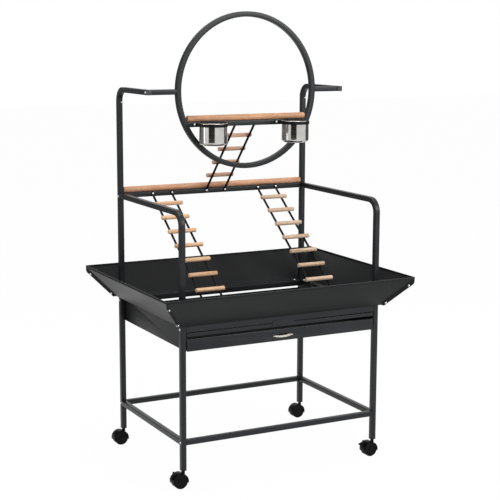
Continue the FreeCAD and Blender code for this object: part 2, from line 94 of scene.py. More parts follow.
def soft_lamp(name, place, size, watts):
    """A square area lamp that looks at the middle of the stand."""
    bpy.ops.object.light_add(type="AREA", location=place)
    lamp = bpy.context.object
    lamp.name = name
    lamp.data.shape = "SQUARE"
    lamp.data.size = size
    lamp.data.energy = watts
    toward_stand = stand_middle - lamp.location
    lamp.rotation_euler = toward_stand.to_track_quat("-Z", "Y").to_euler()
    print(name, round(toward_stand.length, 1), "m away")


soft_lamp("lamp_rear_left", (-3.2, 1.6, 1.3), 2.2, 42)
soft_lamp("lamp_front", (-1.4, -4.0, 3.2), 2.6, 78)
soft_lamp("lamp_front_right", (1.7, -2.9, 2.3), 1.6, 55)
soft_lamp("lamp_right", (3.4, -1.2, 2.2), 2.0, 25)
soft_lamp("lamp_top", (0.2, 0.2, 4.4), 2.4, 55)

# %% [markdown]
# Materials are made of nodes. Each finish starts from the same base: a Principled shader, and object
# coordinates in metres, so that a pattern has its real size and stays put on the part. A node's
# sockets are filled from a dictionary, with a value or with the output of another node.


# %% Nodes and their sockets
def fill_sockets(tree, node, sockets):
    """Sets each named socket to a value, or links it where the value is a node's output."""
    for name, value in sockets.items():
        if isinstance(value, bpy.types.NodeSocket):
            tree.links.new(value, node.inputs[name])
        else:
            node.inputs[name].default_value = value
    return node


def add_node(tree, kind, sockets, **properties):
    """A new node. Its properties come before its sockets, because some sockets depend on them."""
    node = tree.nodes.new(kind)
    for name, value in properties.items():
        setattr(node, name, value)
    return fill_sockets(tree, node, sockets)


def new_finish(name, roughness, metallic=0.0):
    """An empty finish: its material, node tree, shader and object coordinates."""
    material = bpy.data.materials.new(name)
    material.use_nodes = True
    tree = material.node_tree
    shader = tree.nodes["Principled BSDF"]
    fill_sockets(tree, shader, {"Roughness": roughness, "Metallic": metallic})
    coords = tree.nodes.new("ShaderNodeTexCoord")
    return material, tree, shader, coords.outputs["Object"]


# %% Patterns
def noise(tree, vector, scale, detail=3.0, distortion=0.0):
    """A noise texture whose grains are about 1/scale metres wide."""
    sockets = {"Vector": vector, "Scale": scale, "Detail": detail, "Distortion": distortion}
    return add_node(tree, "ShaderNodeTexNoise", sockets).outputs["Fac"]


def stretched_noise(tree, vector, scales, detail, distortion=0.0):
    """A noise with its own scale along X, Y and Z, so that its grains become streaks."""
    mapping = add_node(tree, "ShaderNodeMapping", {"Vector": vector, "Scale": scales})
    return noise(tree, mapping.outputs["Vector"], 1.0, detail, distortion)


def colours(tree, fac, stops):
    """A colour ramp over fac: stops are (position, (r, g, b))."""
    ramp = add_node(tree, "ShaderNodeValToRGB", {"Fac": fac})
    elements = ramp.color_ramp.elements
    while len(elements) < len(stops):
        elements.new(0.5)
    for element, (position, rgb) in zip(elements, stops):
        element.position = position
        element.color = (*rgb, 1)
    return ramp.outputs["Color"]


def two_tones(tree, fac, dark, light):
    """The middle of fac's range fades from one tone to the other."""
    return colours(tree, fac, [(0.3, dark), (0.7, light)])


def spread(tree, fac, low, high):
    """Maps fac from 0..1 to low..high, for a roughness that varies a little."""
    sockets = {"Value": fac, "To Min": low, "To Max": high}
    return add_node(tree, "ShaderNodeMapRange", sockets).outputs["Result"]


def bumps(tree, shader, layers):
    """Stacks bump nodes: layers are (height, strength, depth in metres)."""
    below = {}
    for height, strength, depth in layers:
        sockets = {"Strength": strength, "Distance": depth, "Height": height, **below}
        below = {"Normal": add_node(tree, "ShaderNodeBump", sockets).outputs["Normal"]}
    fill_sockets(tree, shader, below)


# %% [markdown]
# The steel has a satin charcoal powder coat. Powder melts into a skin with a fine orange peel about
# a millimetre across. The shader's coat could stand for that skin, but it is the bump and the
# slightly uneven gloss that tell powder from paint, while the colour hardly varies.


# %% Powder coat
def powder_coat(name, dark, light, roughness, shine):
    material, tree, shader, place = new_finish(name, roughness)
    peel = noise(tree, place, 1100, 2.0)
    cloud = noise(tree, place, 9)
    fill_sockets(tree, shader, {
        "Specular IOR Level": shine,
        "Base Color": two_tones(tree, cloud, dark, light),
        "Roughness": spread(tree, cloud, roughness - 0.05, roughness + 0.06),
    })
    bumps(tree, shader, [(peel, 0.22, 0.00012)])
    print(name, "roughness", roughness)
    return material


tube_coat = powder_coat(
    "tube_powder_coat", (0.0078, 0.0087, 0.0099), (0.0115, 0.0127, 0.0142), 0.34, 0.28)
# Guards, panels and runners wear a darker copy of the same coat: painted shade for the guards.
sheet_coat_shaded = powder_coat(
    "sheet_powder_coat", (0.0068, 0.0072, 0.0078), (0.0095, 0.01, 0.0108), 0.38, 0.15)
# The drawer's inside wears a far darker, duller coat: painted shade for the inside of the drawer.
drawer_shade_coat = powder_coat(
    "tray_powder_coat", (0.003, 0.0031, 0.0034), (0.0045, 0.0047, 0.005), 0.6, 0.03)
wire_coat = powder_coat(
    "wire_powder_coat", (0.004, 0.0042, 0.0045), (0.007, 0.0072, 0.0077), 0.45, 0.1)

# %% [markdown]
# The perches are sanded softwood, left bare. A Wave texture would give even stripes, so the grain is
# noise stretched along X: a coarse one for the bands and a fine one for the pores. The ladders are
# not cut from one board: the upper rungs are the reddest, and the right ones pale and greyer.


# %% Wood
def bare_wood(name, pale, mid, dark):
    """Wood whose grain runs along X."""
    material, tree, shader, place = new_finish(name, 0.62)
    bands = stretched_noise(tree, place, (5, 95, 95), 4.0, 1.1)
    pores = stretched_noise(tree, place, (30, 1500, 1500), 2.0)
    patches = noise(tree, place, 14, 2.0)
    grain = colours(tree, bands, [(0.32, dark), (0.46, mid), (0.66, pale)])
    mottle = colours(tree, patches, [(0.35, (0.84, 0.8, 0.76)), (0.65, (1, 1, 1))])
    streak = colours(tree, pores, [(0.36, (0.72, 0.66, 0.6)), (0.5, (1, 1, 1))])
    for layer in (mottle, streak):
        mix = add_node(tree, "ShaderNodeMix", {"Factor": 1.0, "A": grain, "B": layer},
                       data_type="RGBA", blend_type="MULTIPLY")
        grain = mix.outputs["Result"]
    fill_sockets(tree, shader, {"Base Color": grain, "Roughness": spread(tree, bands, 0.55, 0.7)})
    bumps(tree, shader, [(bands, 0.25, 0.0004), (pores, 0.3, 0.00015)])
    return material


wood_tones = {
    "middle_perch_wood": ((0.655, 0.37, 0.223), (0.56, 0.294, 0.169), (0.38, 0.18, 0.095)),
    "ring_perch_wood": ((0.6, 0.34, 0.195), (0.51, 0.27, 0.148), (0.34, 0.165, 0.085)),
    "rung_wood_left": ((0.782, 0.534, 0.34), (0.718, 0.46, 0.276), (0.515, 0.294, 0.156)),
    "rung_wood_right": ((0.712, 0.543, 0.401), (0.632, 0.463, 0.329), (0.418, 0.276, 0.178)),
    "rung_wood_upper": ((0.67, 0.437, 0.316), (0.586, 0.363, 0.251), (0.391, 0.205, 0.13)),
}
woods = {name: bare_wood(name, *tones) for name, tones in wood_tones.items()}
print(len(woods), "woods")

# %% [markdown]
# Bolts are zinc plated, cups are polished stainless steel and the castors are moulded nylon. Metal
# takes its look from what it reflects and not from its colour, so its nodes mostly vary the
# roughness: cloudy on the zinc, and in fine turned rings round a cup, which are stripes along Z.


# %% Metal
def plated_steel(name, dark, light, roughness, metallic):
    material, tree, shader, place = new_finish(name, roughness, metallic)
    cloud = noise(tree, place, 420)
    fill_sockets(tree, shader, {
        "Base Color": two_tones(tree, cloud, dark, light),
        "Roughness": spread(tree, cloud, roughness - 0.08, roughness + 0.1),
    })
    bumps(tree, shader, [(cloud, 0.1, 0.0001)])
    return material


def polished_steel(name, dark, light):
    material, tree, shader, place = new_finish(name, 0.14, 1.0)
    turned = stretched_noise(tree, place, (6, 6, 3200), 2.0)
    smear = noise(tree, place, 38, 2.0)
    fill_sockets(tree, shader, {
        "Base Color": two_tones(tree, smear, dark, light),
        "Roughness": spread(tree, turned, 0.05, 0.15),
    })
    bumps(tree, shader, [(turned, 0.03, 0.00004)])
    return material


zinc = plated_steel("zinc_plate", (0.55, 0.56, 0.58), (0.8, 0.8, 0.82), 0.3, 1.0)
# The scoop's steel is almost white: a painted highlight for the bright crescent in the finger hole.
worn_steel = plated_steel("worn_steel", (0.8, 0.77, 0.7), (0.93, 0.9, 0.84), 0.55, 0.5)
stainless = polished_steel("polished_stainless", (0.52, 0.51, 0.49), (0.62, 0.61, 0.58))
print("metals", zinc.name, worn_steel.name, stainless.name)


# %% Moulded plastic
def moulded_plastic(name, tone, roughness, grain):
    """Nylon from a spark-eroded mould: a fine even grain, with paler clouds half as bright again."""
    material, tree, shader, place = new_finish(name, roughness)
    fine = noise(tree, place, grain, 2.0)
    cloud = noise(tree, place, 60, 2.0)
    fill_sockets(tree, shader, {
        "Specular IOR Level": 0.1,
        "Base Color": two_tones(tree, cloud, tone, tuple(1.5 * c for c in tone)),
        "Roughness": spread(tree, cloud, roughness - 0.06, roughness + 0.08),
    })
    bumps(tree, shader, [(fine, 0.15, 0.0001)])
    return material


hood_plastic = moulded_plastic("castor_hood_nylon", (0.0016, 0.0016, 0.0018), 0.36, 1800)
cap_plastic = moulded_plastic("end_cap_nylon", (0.055, 0.057, 0.06), 0.45, 1600)
tread_plastic = moulded_plastic("castor_wheel_nylon", (0.002, 0.002, 0.0022), 0.42, 1400)
print(len(bpy.data.materials), "finishes so far")

# %% [markdown]
# Every CAD node first gets the finish of its own material, also the ones that a better piece
# replaces later, because nothing should ever be seen bare. A list of all nodes would be long, so a
# finish is looked up by the start of the node's name, and the longest start wins.

# %% Finish the CAD nodes
finish_starts = {
    tube_coat: [""],
    sheet_coat_shaded: ["seed_guard", "side_panel", "rear_panel", "grate_runner", "drawer"],
    wire_coat: ["grate", "ladder_wires", "cup_holder"],
    stainless: ["cup_left", "cup_right"],
    hood_plastic: ["caster_hood", "brake_pedal", "leg_plugs"],
    tread_plastic: ["caster_wheels"],
    woods["middle_perch_wood"]: ["middle_perch"],
    woods["ring_perch_wood"]: ["ring_perch"],
    woods["rung_wood_left"]: ["ladder_rungs_left"],
    woods["rung_wood_right"]: ["ladder_rungs_right"],
    woods["rung_wood_upper"]: ["ladder_rungs_upper"],
}
finish_of = {start: finish for finish, starts in finish_starts.items() for start in starts}
for name, node in nodes.items():
    start = max((start for start in finish_of if name.startswith(start)), key=len)
    node.data.materials.clear()
    node.data.materials.append(finish_of[start])
print(len(nodes), "nodes in", len(finish_starts), "finishes")

# %% [markdown]
# Operators act on whatever is selected, so each piece starts from a clean selection, and faces or
# edges are then chosen by where they are or which way they face. Choosing them by number would be
# shorter, but the numbers change with every cut.

# %% Choosing what to work on
facing = 0.9    # a normal with this much of itself along an axis faces along that axis


def nothing_selected():
    """Leaves edit mode and deselects every object."""
    if bpy.context.object and bpy.context.object.mode != "OBJECT":
        bpy.ops.object.mode_set(mode="OBJECT")
    bpy.ops.object.select_all(action="DESELECT")


def only_selected(*pieces):
    """Selects just these pieces, and makes the first one active."""
    nothing_selected()
    for piece in pieces:
        piece.select_set(True)
    bpy.context.view_layer.objects.active = pieces[0]


def edit(piece):
    """Opens the piece in edit mode with all of it selected."""
    only_selected(piece)
    bpy.ops.object.mode_set(mode="EDIT")
    bpy.ops.mesh.select_all(action="SELECT")


def unchosen(piece, kind):
    """The mesh in edit mode, with nothing selected and ready to choose one kind of element."""
    bpy.ops.mesh.select_mode(type=kind)
    bpy.ops.mesh.select_all(action="DESELECT")
    return bmesh.from_edit_mesh(piece.data)


def choose_faces(piece, test):
    """Selects just the faces for which test(centre, normal) holds."""
    mesh = unchosen(piece, "FACE")
    for face in mesh.faces:
        face.select_set(test(face.calc_center_median(), face.normal))
    bmesh.update_edit_mesh(piece.data)


def choose_edges(piece, test):
    """Selects just the edges for which test(end, other end) holds."""
    mesh = unchosen(piece, "EDGE")
    for edge in mesh.edges:
        edge.select_set(test(edge.verts[0].co, edge.verts[1].co))
    bmesh.update_edit_mesh(piece.data)


# %% [markdown]
# A primitive is added at its size and place, and what is chosen on it is extruded, or inset and
# lifted in steps. A finished piece has its place in its mesh, gets its finish, and rides on the body
# that carries it.


# %% Shaping
def apply_place(piece):
    """Moves the object's place into its mesh."""
    only_selected(piece)
    bpy.ops.object.transform_apply(location=True, rotation=True, scale=True)


def cylinder(sides, radius, depth, **place):
    """A new cylinder with its place applied, open in edit mode."""
    nothing_selected()
    bpy.ops.mesh.primitive_cylinder_add(vertices=sides, radius=radius, depth=depth, **place)
    piece = bpy.context.object
    apply_place(piece)
    edit(piece)
    return piece


def box_between(low, high):
    """A new box between two corners with its place applied, open in edit mode."""
    nothing_selected()
    low, high = Vector(low), Vector(high)
    bpy.ops.mesh.primitive_cube_add(size=1, location=(low + high) / 2)
    piece = bpy.context.object
    piece.scale = high - low
    apply_place(piece)
    edit(piece)
    return piece


def pull_out(move):
    """Extrudes what is selected and moves the new part of the mesh."""
    bpy.ops.mesh.extrude_region_move(TRANSFORM_OT_translate={"value": move})


def terraces(steps):
    """Insets the chosen faces several times: each step is (width, lift along Z)."""
    for width, lift in steps:
        bpy.ops.mesh.inset(thickness=width, depth=0)
        bpy.ops.transform.translate(value=(0, 0, lift))


# %% Finishing a piece
smooth_below = math.radians(38)
doubles_gap = 0.00001


def done(piece):
    """Closes edit mode."""
    bpy.ops.object.mode_set(mode="OBJECT")
    return piece


def outside_out(piece):
    """Merges doubles and turns every face outwards."""
    edit(piece)
    bpy.ops.mesh.remove_doubles(threshold=doubles_gap)
    bpy.ops.mesh.normals_make_consistent(inside=False)
    return done(piece)


def modified(piece, kind, **settings):
    """Adds a modifier with these settings and applies it."""
    bpy.ops.object.modifier_add(type=kind)
    modifier = piece.modifiers[-1]
    for setting, value in settings.items():
        setattr(modifier, setting, value)
    bpy.ops.object.modifier_apply(modifier=modifier.name)


def dress(piece, name, finish, body="frame", instead_of=()):
    """Names the finished piece, gives it its material and shading, and lets it ride on its body."""
    apply_place(piece)
    piece.name = name
    piece.data.name = name
    piece.data.materials.clear()
    piece.data.materials.append(finish)
    bpy.ops.object.shade_smooth_by_angle(angle=smooth_below)
    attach(piece, body)
    if instead_of:
        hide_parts(*instead_of)
    return piece


# %% Copies
def joined(parts):
    """All the parts as one mesh, in the first one's object."""
    only_selected(*parts)
    if len(parts) > 1:
        bpy.ops.object.join()
    return parts[0]


def copies(source, places):
    """One piece made of copies of source, each set by a matrix. The source itself is removed."""
    made = []
    for place in places:
        only_selected(source)
        bpy.ops.object.duplicate()
        copy = bpy.context.object
        copy.matrix_world = place @ source.matrix_world
        apply_place(copy)
        made.append(copy)
    bpy.data.objects.remove(source)
    return joined(made)


def standing_at(point, way):
    """A matrix that sets a piece down at a point with its own +Z along way."""
    return Matrix.Translation(Vector(point)) @ Vector(way).to_track_quat("Z", "Y").to_matrix().to_4x4()


# %% [markdown]
# Most of the frame is square tube, and its bends are tube too. A curve with a bevel would give a
# round bar, or a square one that twists at its bends. So a tube is a rounded square drawn along a
# path: extruded where the path is straight, and spun about the bend's centre where it turns. The
# same function makes the round wires of the ladders from a circle.

# %% Tube along a path
tube_size, tube_corner = 0.018, 0.0016
bend_steps = 10
wire_sides = 14


def profile_face(start, way, size, square):
    """The cross-section that a sweep starts from, facing along way, selected in edit mode."""
    nothing_selected()
    turn = way.to_track_quat("Z", "Y").to_euler()
    if square:
        bpy.ops.mesh.primitive_plane_add(size=size, location=start, rotation=turn)
    else:
        bpy.ops.mesh.primitive_circle_add(vertices=wire_sides, radius=size / 2, fill_type="NGON",
                                          location=start, rotation=turn)
    piece = bpy.context.object
    apply_place(piece)
    edit(piece)
    if square:
        bpy.ops.mesh.bevel(offset=tube_corner, segments=3, affect="VERTICES")
        bpy.ops.mesh.select_all(action="SELECT")
    return piece


def sweep(points, size=tube_size, bend_radius=0.0, square=True):
    """A closed bar of square or round section along the points, with an arc at each corner."""
    points = [Vector(p) for p in points]
    ways = [(b - a).normalized() for a, b in zip(points, points[1:])]
    piece = profile_face(points[0], ways[0], size, square)
    here = points[0]
    for corner, before, after in zip(points[1:], ways, ways[1:]):
        reach = bend_radius * math.tan(before.angle(after) / 2)
        pull_out(corner - before * reach - here)
        axis = before.cross(after).normalized()
        centre = corner - before * reach + axis.cross(before) * bend_radius
        # a positive angle turns left-handed about the axis
        bpy.ops.mesh.spin(steps=bend_steps, angle=-before.angle(after), center=centre, axis=axis)
        here = corner + after * reach
    pull_out(points[-1] - here)
    return outside_out(piece)


print("tube", tube_size, "m square, corner radius", tube_corner)

# %% [markdown]
# Straight tubes first. Each takes its ends and level from the CAD node that it stands for, so nothing
# is typed twice. The rails are taller than the tube, so they are stretched after the sweep.


# %% Straight tubes
def straight_tube(name):
    """A rounded square tube in the box of the CAD node, along its longest side."""
    low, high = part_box(name)
    size, middle = high - low, (low + high) / 2
    axis = max(range(3), key=lambda i: size[i])
    start, end = middle.copy(), middle.copy()
    start[axis], end[axis] = low[axis], high[axis]
    piece = sweep([start, end])
    stretch = [1 if i == axis else size[i] / tube_size for i in range(3)]
    edit(piece)
    bpy.ops.transform.resize(value=stretch, center_override=middle)
    dress(done(piece), name + "_tube", tube_coat, instead_of=[name])


straight_names = [
    "leg_front_left", "leg_front_right", "leg_rear_left", "leg_rear_right",
    "stretcher_front", "stretcher_rear", "stretcher_left", "stretcher_right",
    "rail_front", "rail_rear", "middle_bar", "ring_arm_left", "ring_arm_right",
]
for name in straight_names:
    straight_tube(name)
print(len(straight_names), "straight tubes")

# %% [markdown]
# The posts slide into the tube below, and their hidden ends need no skin, so each is drawn from its
# shoulder upwards, a hair above the tube that it stands on, which shows as a thin joint line. The two
# side arms and the two top elbows turn a right angle on the way.

# %% Posts, side arms and top elbows
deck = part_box("leg_front_left")[1].z
arm_bend = elbow_bend = 0.042
joint_line = 0.0004
half = tube_size / 2
posts = {}
for side in ("left", "right"):
    arm_low, arm_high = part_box("side_arm_" + side)
    elbow_low, elbow_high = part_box("post_elbow_" + side)
    x = (arm_low.x + arm_high.x) / 2
    post_y, front_y = elbow_high.y - half, arm_low.y + half
    arm_z, top_z = arm_high.z - half, elbow_high.z - half
    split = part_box("rear_post_" + side)[1].z
    elbow_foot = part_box("upper_post_" + side)[1].z
    open_end = (x, elbow_low.y, top_z)
    elbow_route = [(x, post_y, elbow_foot + joint_line), (x, post_y, top_z), open_end]
    routes = {
        "rear_post_": ([(x, post_y, deck), (x, post_y, split)], 0),
        "upper_post_": ([(x, post_y, split + joint_line), (x, post_y, elbow_foot)], 0),
        "post_elbow_": (elbow_route, elbow_bend),
        "side_arm_": ([(x, arm_high.y, arm_z), (x, front_y, arm_z), (x, front_y, deck)], arm_bend),
    }
    for start, (points, radius) in routes.items():
        bar = sweep(points, bend_radius=radius)
        dress(bar, start + side + "_tube", tube_coat, instead_of=[start + side])
    posts[side] = {"x": x, "y": post_y, "elbow_foot": elbow_foot, "open_end": open_end}
print("arm level", round(arm_z, 3), "top arm level", round(top_z, 3))

# %% [markdown]
# The ring is one tube rolled into a full circle. A torus has a round section, so the tube's profile
# is spun round the ring's axis instead. It loses its face first, and the last copy is merged with the
# first, so there is no wall inside the tube. The bar across simply reaches into the ring.

# %% Ring and the bar across it
ring_low, ring_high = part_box("ring")
ring_centre = (ring_low + ring_high) / 2
ring_radius = (ring_high.x - ring_low.x) / 2 - half
ring_steps = 120
ring = profile_face(ring_centre + Vector((ring_radius, 0, 0)), Vector((0, 0, 1)), tube_size, True)
bpy.ops.mesh.delete(type="ONLY_FACE")
bpy.ops.mesh.select_all(action="SELECT")
bpy.ops.mesh.spin(steps=ring_steps, angle=2 * math.pi, center=ring_centre, axis=(0, 1, 0))
dress(outside_out(ring), "ring_tube", tube_coat, instead_of=["ring"])

bar_low, bar_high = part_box("ring_bar")
bar_z, bar_y = (bar_low.z + bar_high.z) / 2, (bar_low.y + bar_high.y) / 2
bar_into_ring = 0.003
bar_half = math.sqrt((ring_radius - half) ** 2 - (ring_centre.z - bar_z) ** 2) + bar_into_ring
bar = sweep([(-bar_half, bar_y, bar_z), (bar_half, bar_y, bar_z)])
dress(bar, "ring_bar_tube", tube_coat, instead_of=["ring_bar"])
print("ring", round(2 * ring_radius, 3), "m across its middle line")

# %% [markdown]
# The open ends of the two top arms are closed by moulded caps. A plain block would look like a lid,
# so its outer face is inset and pulled out into a low dome, and its corners follow the tube's.

# %% End caps
cap_depth = 0.003
cap_border, cap_rise = 0.0012, 0.0008
crown_border, crown_rise = 0.002, 0.0003


def end_cap(point, way):
    cap = box_between((-half, -half, 0), (half, half, cap_depth))
    choose_edges(cap, lambda a, b: abs(a.z - b.z) > cap_depth / 2)
    bpy.ops.mesh.bevel(offset=tube_corner, segments=3)
    choose_faces(cap, lambda centre, normal: normal.z > facing)
    bpy.ops.mesh.inset(thickness=cap_border, depth=0)
    pull_out((0, 0, cap_rise))
    bpy.ops.mesh.inset(thickness=crown_border, depth=crown_rise)
    return copies(done(cap), [standing_at(point, way)])


for side, post in posts.items():
    cap = end_cap(post["open_end"], (0, -1, 0))
    dress(cap, "top_arm_cap_" + side, cap_plastic)
    print("end cap", side, [round(c, 3) for c in post["open_end"]])

# %% [markdown]
# Perches and rungs are dowels. A cylinder gets a rounded edge at both ends, a few cuts along its
# length, and a very slight waviness from widening or narrowing those cuts, because a turned stick is
# never quite true. A Displace modifier would need far more faces. Each rung is modelled once and
# copied down the ladder.

# %% Dowels
dowel_sides = 32
waviness, wave_step, wave_shift = 0.006, 2.7, 9
perch_edge, perch_cuts = 0.0012, 11
rung_radius, rung_edge, rung_cuts = 0.0075, 0.0011, 3


def dowel(radius, low_x, high_x, y, z, edge, cuts):
    """A stick along X between low_x and high_x, with broken edges and cuts rings along it."""
    length = high_x - low_x
    stick = cylinder(dowel_sides, radius, length,
                     rotation=(0, math.pi / 2, 0), location=((low_x + high_x) / 2, y, z))
    choose_edges(stick, lambda a, b: abs(a.x - b.x) < radius / 100)
    bpy.ops.mesh.bevel(offset=edge, segments=3)
    for i in range(1, cuts + 1):
        bpy.ops.mesh.select_all(action="SELECT")
        x = low_x + length * i / (cuts + 1)
        bpy.ops.mesh.bisect(plane_co=(x, y, z), plane_no=(1, 0, 0))
        swell = 1 + waviness * math.sin(wave_step * i + wave_shift * radius)
        bpy.ops.transform.resize(value=(1, swell, swell), center_override=(x, y, z))
    return done(stick)


for node in ("middle_perch", "ring_perch"):
    low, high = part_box(node)
    y, z = (low.y + high.y) / 2, (low.z + high.z) / 2
    stick = dowel((high.z - low.z) / 2, low.x, high.x, y, z, perch_edge, perch_cuts)
    dress(stick, node + "_dowel", woods[node + "_wood"], instead_of=[node])

# %% Rungs
rung_counts = {"left": 7, "right": 7, "upper": 4}


def ladder_ends(node):
    """A ladder node's box, the Y of its high and of its low end, and which way is inward there."""
    low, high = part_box(node)
    near, far = (low.y, high.y) if node.endswith("upper") else (high.y, low.y)
    return low, high, near, far, 1 if near < far else -1


for name, count in rung_counts.items():
    node = "ladder_rungs_" + name
    low, high, near, far, inward = ladder_ends(node)
    first = Vector((0, near + inward * rung_radius, high.z - rung_radius))
    last = Vector((0, far - inward * rung_radius, low.z + rung_radius))
    stick = dowel(rung_radius, low.x, high.x, 0, 0, rung_edge, rung_cuts)
    spots = [first.lerp(last, i / (count - 1)) for i in range(count)]
    rungs = copies(stick, [Matrix.Translation(spot) for spot in spots])
    dress(rungs, f"ladder_{name}_rungs", woods["rung_wood_" + name], instead_of=[node])
print("rungs", sum(rung_counts.values()))

# %% [markdown]
# Each ladder hangs on two wires. A wire's end is pressed flat into an eye for its bolt, so the wire
# leaves it straight up or down and then bends towards the other end. Flattening the swept wire would
# pinch its bend, so the eye is a thick washer of its own.

# %% Ladder wires
wire_size, wire_bend = 0.008, 0.006
eye_size, eye_thick, eye_edge, eye_overlap = 0.013, 0.004, 0.0007, 0.002
ladder_gauge = 0.075


def wire_eye(point):
    """A flattened wire end, lying against a face that looks along Y."""
    eye = cylinder(24, eye_size / 2, eye_thick, rotation=(math.pi / 2, 0, 0), location=point)
    choose_edges(eye, lambda a, b: abs(a.y - b.y) < eye_thick / 10)
    bpy.ops.mesh.bevel(offset=eye_edge, segments=2)
    return done(eye)


ladder_bolts = []
for name in rung_counts:
    low, high, near, far, inward = ladder_ends("ladder_wires_" + name)
    parts = []
    for side in (-1, 1):
        x = (low.x + high.x) / 2 + side * ladder_gauge / 2
        top_eye = Vector((x, near + inward * eye_thick / 2, high.z - eye_size / 2))
        foot_eye = Vector((x, far - inward * eye_thick / 2, low.z + eye_size / 2))
        drop = Vector((0, 0, eye_size / 2 - eye_overlap))
        route = [top_eye, top_eye - drop, foot_eye + drop, foot_eye]
        parts += [sweep(route, wire_size, wire_bend, False), wire_eye(top_eye), wire_eye(foot_eye)]
        for eye, way in ((top_eye, inward), (foot_eye, -inward)):
            ladder_bolts.append((eye + Vector((0, way * eye_thick / 2, 0)), (0, way, 0)))
    dress(joined(parts), f"ladder_{name}_wires", wire_coat, instead_of=["ladder_wires_" + name])
print(len(ladder_bolts), "wire eyes")

# %% [markdown]
# Folded sheet keeps the CAD's own shape, because the CAD has its mitres already. Its mesh comes in as
# loose triangles, so a copy is merged, its flat areas are dissolved into single faces, and a small
# bevel rounds every edge and lets it catch the light.

# %% Folded sheet
merge_gap = 0.00002
flat_below, edge_above = math.radians(1), math.radians(40)
sheet_edge = 0.0004


def softened(name, width, finish, body="frame"):
    """A piece in the shape of a CAD node, with its edges rounded by width metres."""
    piece = bpy.data.objects.new(name + "_soft", nodes[name].data.copy())
    bpy.context.scene.collection.objects.link(piece)
    edit(piece)
    bpy.ops.mesh.remove_doubles(threshold=merge_gap)
    bpy.ops.mesh.dissolve_limited(angle_limit=flat_below)
    modified(done(piece), "BEVEL", width=width, segments=2, limit_method="ANGLE", angle_limit=edge_above)
    ending = "_sheet" if finish == sheet_coat_shaded else "_part"
    return dress(piece, name + ending, finish, body, [name])


sheet_names = [
    "seed_guard_front", "seed_guard_rear", "seed_guard_left", "seed_guard_right",
    "side_panel_left", "side_panel_right", "rear_panel", "grate_runner_left", "grate_runner_right",
]
for name in sheet_names:
    softened(name, sheet_edge, sheet_coat_shaded)
print(len(sheet_names), "folded sheets")

# %% [markdown]
# The drawer is folded too. Its inside lies in shade, and that shade is painted: a second drawer for the
# inside would double its walls, so the faces that look at the drawer's own middle simply get a second
# coat, darker and duller, as painted shade.

# %% Drawer
drawer_low, drawer_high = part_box("drawer")
drawer_middle = (drawer_low + drawer_high) / 2
# The drawer's front wears the lighter tube coat, not the sheets' shaded copy.
drawer = softened("drawer", sheet_edge, tube_coat, "drawer")
drawer.data.materials.append(drawer_shade_coat)
edit(drawer)
choose_faces(drawer, lambda centre, normal: normal.dot(centre - drawer_middle) < 0)
drawer.active_material_index = 1
bpy.ops.object.material_slot_assign()
nothing_selected()
print(sum(face.material_index for face in drawer.data.polygons), "of the drawer's faces look inwards")

# %% Cup holders and leg plugs
holder_edge, moulding_edge = 0.0005, 0.0006
for side in ("left", "right"):
    softened("cup_holder_" + side, holder_edge, wire_coat)
softened("leg_plugs", moulding_edge, hood_plastic)

# %% [markdown]
# The upper edge of each guard is rolled into a thin bead, so that it is not sharp to the hand. It is
# what draws the bright line round the top of the basin. Rolling the sheet's own edge would open its
# corners, so a bead is a thin round sweep along the edge.

# %% Rolled edges of the guards
bead_size = 0.0026
bead_inset = Vector([bead_size / 2] * 3)
for side, along in (("front", 0), ("rear", 0), ("left", 1), ("right", 1)):
    low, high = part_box("seed_guard_" + side)
    inner, outer = low + bead_inset, high - bead_inset
    start = Vector((inner.x, inner.y, outer.z)) if side in ("front", "left") else outer.copy()
    end = start.copy()
    end[along] = inner[along] + outer[along] - start[along]
    bead = sweep([start, end], bead_size, 0, False)
    dress(bead, f"seed_guard_{side}_bead", tube_coat)
    print(side, "bead", round((end - start).length, 3), "m long")

# %% [markdown]
# The finger hole of the drawer is pressed, not cut: the metal that leaves it is pushed inwards as a
# scoop. Its almost white steel is a painted highlight, for the light from above that the scoop mirrors.
# The scoop follows the lower curve of the hole. It is a leaning strip, spun about the centre of that
# curve, so the hole itself hides its thin ends.

# %% Scoop in the drawer's finger hole, pale as a painted highlight
slot_half, slot_sag, slot_below_top = 0.043, 0.0075, 0.022
scoop_deep, scoop_rise, scoop_thick = 0.0085, 0.0036, 0.0008
scoop_set_back, scoop_above_floor, scoop_share = 0.0003, 0.0006, 0.96
scoop_steps = 24
curve_radius = (slot_half ** 2 + slot_sag ** 2) / (2 * slot_sag)
curve_turn = 2 * math.asin(slot_half / curve_radius) * scoop_share
slot_floor = drawer_high.z - slot_below_top - slot_sag
curve_centre = Vector((0, drawer_low.y, slot_floor + curve_radius))


def finger_scoop():
    y = drawer_low.y + scoop_deep / 2 + scoop_set_back
    nothing_selected()
    bpy.ops.mesh.primitive_plane_add(size=1, rotation=(0, math.pi / 2, 0),
                                     location=(0, y, slot_floor + scoop_rise / 2 + scoop_above_floor))
    strip = bpy.context.object
    strip.scale = (scoop_thick, scoop_deep, 1)
    apply_place(strip)
    edit(strip)
    # the rear edge stands higher than the front one
    choose_edges(strip, lambda a, b: min(a.y, b.y) > y)
    bpy.ops.transform.translate(value=(0, 0, scoop_rise))
    bpy.ops.mesh.select_all(action="SELECT")
    bpy.ops.transform.rotate(value=curve_turn / 2, orient_axis="Y", center_override=curve_centre)
    bpy.ops.mesh.spin(steps=scoop_steps, angle=-curve_turn, center=curve_centre, axis=(0, 1, 0))
    return outside_out(strip)


scoop = dress(finger_scoop(), "drawer_finger_scoop", worn_steel, "drawer")
print("finger scoop", [round(c, 3) for c in scoop.dimensions])

# %% [markdown]
# The grate is welded from round wire: a border of thick rod, cross rods and thin wires on top. The
# CAD has square bars and fewer of them, and a Wireframe modifier would join them all at one level, so
# the grate is modelled again from sweeps. Its front bar and finger tab are a bent strip, made of
# boxes with bevelled edges, in the coat of the rail.

